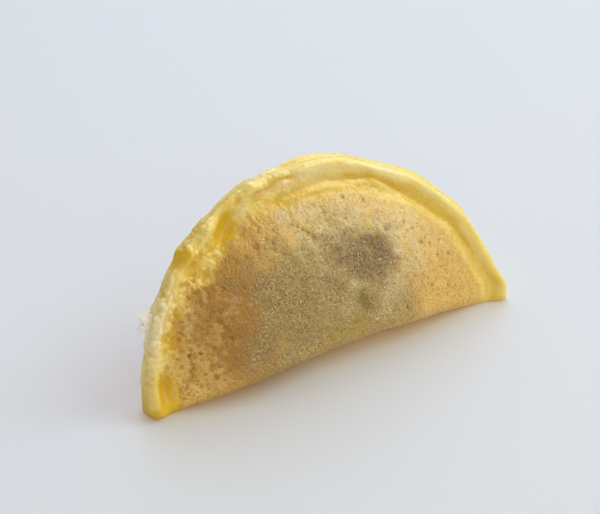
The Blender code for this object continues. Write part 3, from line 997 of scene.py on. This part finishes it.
def flake(angle, length, width, lift, curl):
    """A thin film that grows out of the rim: sections along it are flat ovals, as wide as a circle's
    half chord at that share of the length, ragged by two sines, and bent by a parabola."""
    share = 0.5 - 0.5 * np.cos(np.linspace(0.0, np.pi, FLAKE_STEPS + 1))[:, None]
    turn = np.linspace(0.0, 2.0 * np.pi, FLAKE_AROUND, endpoint=False)[None, :]
    chord = np.sqrt(np.clip(share * (1.0 - share), 0.0, 0.25)) * 2.0
    ragged = 1.0 + 0.22 * np.sin(11.0 * share + angle) + 0.12 * np.sin(23.0 * share + 2.0 * angle)
    side = 0.5 * width * chord * ragged * np.cos(turn)
    out = length * share * (1.0 + 0.12 * np.sin(3.0 * side + angle)) - FLAKE_ROOT
    bend = curl * (share ** 2 - 0.6 * (side / width) ** 2)
    height = lift + bend + 0.5 * FLAKE_THICKNESS * chord * np.sin(turn)
    at = np.radians(angle)
    radius = outline(np.full_like(out, angle)) + out
    u = radius * np.cos(at) - side * np.sin(at)
    v = radius * np.sin(at) + side * np.cos(at)
    return stand(u, v, height)


def make_flakes():
    """All flakes as one piece. Each is a closed skin of rings between two end points."""
    points = []
    faces = []
    for listed in FLAKES:
        rings = flake(*listed)
        start = sum(len(part) for part in points)
        numbers = start + 1 + np.arange((FLAKE_STEPS - 1) * FLAKE_AROUND).reshape(-1, FLAKE_AROUND)
        last = start + 1 + numbers.size
        points.append(np.concatenate((rings[0, :1], rings[1:-1].reshape(-1, 3), rings[-1, :1])))
        after = np.roll(numbers, -1, axis=1)
        squares = np.stack((numbers[:-1], numbers[1:], after[1:], after[:-1]), axis=-1)
        near = np.stack((np.full(FLAKE_AROUND, start), numbers[0], after[0]), axis=-1)
        far = np.stack((np.full(FLAKE_AROUND, last), after[-1], numbers[-1]), axis=-1)
        faces += squares.reshape(-1, 4).tolist() + near.tolist() + far.tolist()
    return make_piece("egg_white_flakes", np.concatenate(points), faces, {})


def linear(red, green, blue):
    """A colour given as it looks on a screen, 0 to 255, in the light units that shaders use: a power of
    2.4, with a straight part near black."""
    values = [channel / 255.0 for channel in (red, green, blue)]
    return tuple(c / 12.92 if c <= 0.04045 else ((c + 0.055) / 1.055) ** 2.4 for c in values) + (1.0,)


def add_node(tree, kind, settings=None, **inputs):
    """A node with its settings, and inputs that are plain values or links from other nodes. An input is
    given by its name, with an underscore for each space, or by the letter i and its number."""
    node = tree.nodes.new(kind)
    for setting, value in (settings or {}).items():
        setattr(node, setting, value)
    for label, value in inputs.items():
        numbered = label[0] == "i" and label[1:].isdigit()
        socket = node.inputs[int(label[1:]) if numbered else label.replace("_", " ")]
        if isinstance(value, bpy.types.NodeSocket):
            tree.links.new(value, socket)
        else:
            socket.default_value = value
    return node


def mix_colour(tree, share, first, second):
    """Colour that goes from the first to the second as share goes from 0 to 1."""
    node = add_node(tree, "ShaderNodeMix", {"data_type": "RGBA"}, i0=share, i6=first, i7=second)
    return node.outputs[2]


def maths(tree, operation, first, second=0.0, third=0.0):
    """One step of arithmetic. The third value is what a multiply-add step adds."""
    settings = {"operation": operation}
    return add_node(tree, "ShaderNodeMath", settings, i0=first, i1=second, i2=third).outputs[0]


def map_range(tree, value, settings=None, **ends):
    """The value carried from one range to another. Each range is 0 to 1 where no end is given."""
    return add_node(tree, "ShaderNodeMapRange", settings, Value=value, **ends).outputs["Result"]


def new_group(name, inputs, outputs):
    """An empty shader node group with named number inputs and outputs."""
    group = bpy.data.node_groups.new(name, "ShaderNodeTree")
    for label, kind in inputs:
        group.interface.new_socket(label, in_out="INPUT", socket_type=kind)
    for label, kind in outputs:
        group.interface.new_socket(label, in_out="OUTPUT", socket_type=kind)
    return group


def pinhole_group():
    """Tiny round bubbles strewn one to a cell on the unfolded skin: a mask that is 1 in each hole. Each
    cell's random colour gives the hole's own radius."""
    group = new_group(
        "pinholes",
        (
            ("Place", "NodeSocketVector"),
            ("Per Millimetre", "NodeSocketFloat"),
            ("Smallest", "NodeSocketFloat"),
            ("Largest", "NodeSocketFloat"),
        ),
        (("Hole", "NodeSocketFloat"),),
    )
    given = group.nodes.new("NodeGroupInput").outputs
    density = given["Per Millimetre"]
    settings = {"voronoi_dimensions": "2D"}
    cells = add_node(group, "ShaderNodeTexVoronoi", settings, Vector=given["Place"], Scale=density)
    chance = add_node(group, "ShaderNodeSeparateColor", None, Color=cells.outputs["Color"]).outputs[0]
    chance = maths(group, "POWER", chance, 2.0)
    radius = map_range(group, chance, To_Min=given["Smallest"], To_Max=given["Largest"])
    away = maths(group, "DIVIDE", cells.outputs["Distance"], density)
    away = maths(group, "DIVIDE", away, radius)
    settings = {"interpolation_type": "SMOOTHSTEP"}
    hole = map_range(group, away, settings, From_Min=0.5, From_Max=1.2, To_Min=1.0, To_Max=0.0)
    add_node(group, "NodeGroupOutput", None, Hole=hole)
    return group


def noise(tree, place, scale):
    """Cloudy noise from 0 to 1 at so many features a metre."""
    return add_node(tree, "ShaderNodeTexNoise", None, Vector=place, Scale=scale, Detail=3.0).outputs["Fac"]


def stretch(tree, value, low, high):
    """0 where the value is low, 1 where it is high."""
    return map_range(tree, value, From_Min=low, From_Max=high)


def layered(tree, colour, masks, speck, layers):
    """A colour with the listed layers laid over it, each by its mask and strength."""
    for name, strength, first, *second in layers:
        over = mix_colour(tree, speck, linear(*first), linear(*second[0])) if second else linear(*first)
        colour = mix_colour(tree, maths(tree, "MULTIPLY", masks[name], strength), colour, over)
    return colour


def make_material(name, **inputs):
    """A material with one Principled shader, and plain values for the shader's inputs."""
    material = bpy.data.materials.new(name)
    material.use_nodes = True
    for label, value in inputs.items():
        material.node_tree.nodes["Principled BSDF"].inputs[label.replace("_", " ")].default_value = value
    return material


def egg_skin_material(pinholes):
    """Cooked egg: pale frothy rim, tan porous belly, stained where the filling shows through, with painted
    shade in pores, gaps and hollows, painted highlights and glints, and painted light at its foot. Its
    shadow is partly lit, as light comes through the thin egg."""
    material = make_material(
        "egg_skin",
        Specular_IOR_Level=0.4,
        Coat_Weight=0.25,
        Coat_Roughness=0.16,
        Subsurface_Weight=0.3,
        Subsurface_Radius=(1.0, 0.75, 0.35),
        Subsurface_Scale=0.002,
    )
    tree = material.node_tree
    shader = tree.nodes["Principled BSDF"]
    place = add_node(tree, "ShaderNodeTexCoord").outputs["Object"]
    flat = add_node(tree, "ShaderNodeAttribute", {"attribute_name": "flat_place"}).outputs["Vector"]
    masks = {}
    for name in SKIN_MASKS:
        masks[name] = add_node(tree, "ShaderNodeAttribute", {"attribute_name": name}).outputs["Fac"]

    mottle = stretch(tree, noise(tree, place, 420.0), 0.35, 0.65)
    speck = stretch(tree, noise(tree, place, 1900.0), 0.35, 0.65)
    grain = noise(tree, place, 2600.0)
    rim = mix_colour(tree, mottle, *[linear(*given) for given in RIM_COLOURS])
    rim = layered(tree, rim, masks, speck, RIM_LAYERS)
    tan = mix_colour(tree, mottle, *[linear(*given) for given in TAN_COLOURS])
    tan = layered(tree, tan, masks, speck, TAN_LAYERS)
    colour = mix_colour(tree, masks["tan"], rim, tan)
    colour = layered(tree, colour, masks, speck, SKIN_LAYERS)

    strewn = {"node_tree": pinholes}
    sparse = add_node(
        tree, "ShaderNodeGroup", strewn, Place=flat, Per_Millimetre=0.95, Smallest=0.05, Largest=0.28
    )
    dense = add_node(
        tree, "ShaderNodeGroup", strewn, Place=flat, Per_Millimetre=1.7, Smallest=0.06, Largest=0.22
    )
    # Painted shade: the sparse pinholes are darker golden.
    holes = maths(tree, "MULTIPLY", sparse.outputs["Hole"], masks["tan"])
    colour = mix_colour(tree, maths(tree, "MULTIPLY", holes, 0.45), colour, linear(*GOLDEN_HOLE_SHADE))
    # The dense pinholes, darkest over the filling, are partly the filling seen through and partly painted
    # shade.
    closer = maths(tree, "MULTIPLY", masks["deep"], 0.12)
    closer = maths(tree, "MULTIPLY_ADD", masks["filling"], 0.42, closer)
    close = maths(tree, "MULTIPLY", dense.outputs["Hole"], closer)
    colour = mix_colour(tree, close, colour, linear(*DARK_HOLE_FILLING_AND_SHADE))

    on_belly = stretch(tree, masks["tan"], -0.25, 1.0)
    clusters = stretch(tree, noise(tree, place, 330.0), 0.42, 0.62)
    over_filling = maths(tree, "MULTIPLY_ADD", masks["filling"], 0.8, 0.2)
    glint = maths(tree, "MULTIPLY_ADD", clusters, 0.65, 0.1)
    for share in (over_filling, on_belly, stretch(tree, grain, 0.59, 0.68)):
        glint = maths(tree, "MULTIPLY", glint, share)
    colour = mix_colour(tree, glint, colour, linear(*GLINT))
    tree.links.new(colour, shader.inputs["Base Color"])

    tree.links.new(map_range(tree, speck, To_Min=0.18, To_Max=0.42), shader.inputs["Roughness"])
    pits = maths(tree, "MULTIPLY_ADD", holes, 0.22, maths(tree, "MULTIPLY", close, 0.5))
    fine = maths(tree, "MULTIPLY", maths(tree, "SUBTRACT", grain, pits), on_belly)
    dent = add_node(tree, "ShaderNodeBump", None, Strength=1.0, Distance=0.0006, Height=fine)
    tree.links.new(dent.outputs["Normal"], shader.inputs["Normal"])

    through = add_node(tree, "ShaderNodeBsdfTransparent", None, Color=linear(*LIGHT_THROUGH_EGG))
    shadow_ray = add_node(tree, "ShaderNodeLightPath").outputs["Is Shadow Ray"]
    share = maths(tree, "MULTIPLY", shadow_ray, LIGHT_THROUGH_SHARE)
    both = add_node(tree, "ShaderNodeMixShader", None, i0=share)
    tree.links.new(shader.outputs["BSDF"], both.inputs[1])
    tree.links.new(through.outputs["BSDF"], both.inputs[2])
    tree.links.new(both.outputs["Shader"], tree.nodes["Material Output"].inputs["Surface"])
    return material


def egg_white_material():
    """Cooked egg white: a thin, pale, glossy film."""
    return make_material(
        "egg_white",
        Base_Color=linear(*EGG_WHITE),
        Roughness=0.25,
        Transmission_Weight=0.55,
        IOR=1.2,
        Subsurface_Weight=0.4,
        Subsurface_Radius=(1.0, 0.9, 0.7),
        Subsurface_Scale=0.001,
    )


def make_floor():
    """A plain pale floor, well past the edges of the view."""
    mesh = bpy.data.meshes.new("floor")
    sides = ((-1.0, -1.0), (1.0, -1.0), (1.0, 1.0), (-1.0, 1.0))
    corners = [(FLOOR_REACH * side_x, FLOOR_REACH * side_y, 0.0) for side_x, side_y in sides]
    mesh.from_pydata(corners, [], [(0, 1, 2, 3)])
    floor = bpy.data.objects.new("floor", mesh)
    bpy.context.scene.collection.objects.link(floor)
    mesh.materials.append(make_material("pale_floor", Base_Color=linear(*FLOOR), Roughness=0.5))


def area_light(name, azimuth, elevation, distance, size, power, colour):
    """A square soft light at an angle round the dumpling, aimed at its middle."""
    light = bpy.data.lights.new(name, "AREA")
    light.shape = "SQUARE"
    light.size = size
    light.energy = power
    light.color = colour
    lamp = bpy.data.objects.new(name, light)
    back = direction(azimuth, elevation)
    lamp.location = [distance * part for part in back]
    lamp.rotation_euler = (math.radians(90.0 - elevation), 0.0, math.radians(azimuth))
    bpy.context.scene.collection.objects.link(lamp)


def direction(azimuth, elevation):
    """Unit arrow from the dumpling towards a place seen at these angles: their sines and cosines."""
    turn = math.radians(azimuth)
    rise = math.radians(elevation)
    return (math.sin(turn) * math.cos(rise), -math.cos(turn) * math.cos(rise), math.sin(rise))


def make_camera():
    """The photograph's view: a camera set back from its target along the arrow of its two angles."""
    camera = bpy.data.cameras.new("camera")
    camera.lens = CAMERA_LENS
    camera.dof.use_dof = False
    holder = bpy.data.objects.new("camera", camera)
    back = direction(CAMERA_AZIMUTH, CAMERA_ELEVATION)
    holder.location = [CAMERA_TARGET[axis] + CAMERA_DISTANCE * back[axis] for axis in range(3)]
    holder.rotation_euler = (math.radians(90.0 - CAMERA_ELEVATION), 0.0, math.radians(CAMERA_AZIMUTH))
    bpy.context.scene.collection.objects.link(holder)
    bpy.context.scene.camera = holder


def make_light():
    """Soft daylight from above, behind and to the right, a little from the front and left, and a pale
    room all round."""
    scene = bpy.context.scene
    scene.view_settings.view_transform = "Standard"
    world = bpy.data.worlds.new("room")
    scene.world = world
    world.use_nodes = True
    room = world.node_tree.nodes["Background"]
    room.inputs["Color"].default_value = ROOM_COLOUR
    room.inputs["Strength"].default_value = ROOM_STRENGTH
    for name, lamp in LAMPS.items():
        area_light(name, *lamp)


crepe = make_crepe()
crepe.data.materials.append(egg_skin_material(pinhole_group()))
flakes = make_flakes()
flakes.data.materials.append(egg_white_material())
for piece in (crepe, flakes):
    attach(piece, "root")
    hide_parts("egg_dumpling")
make_floor()
make_light()
make_camera()
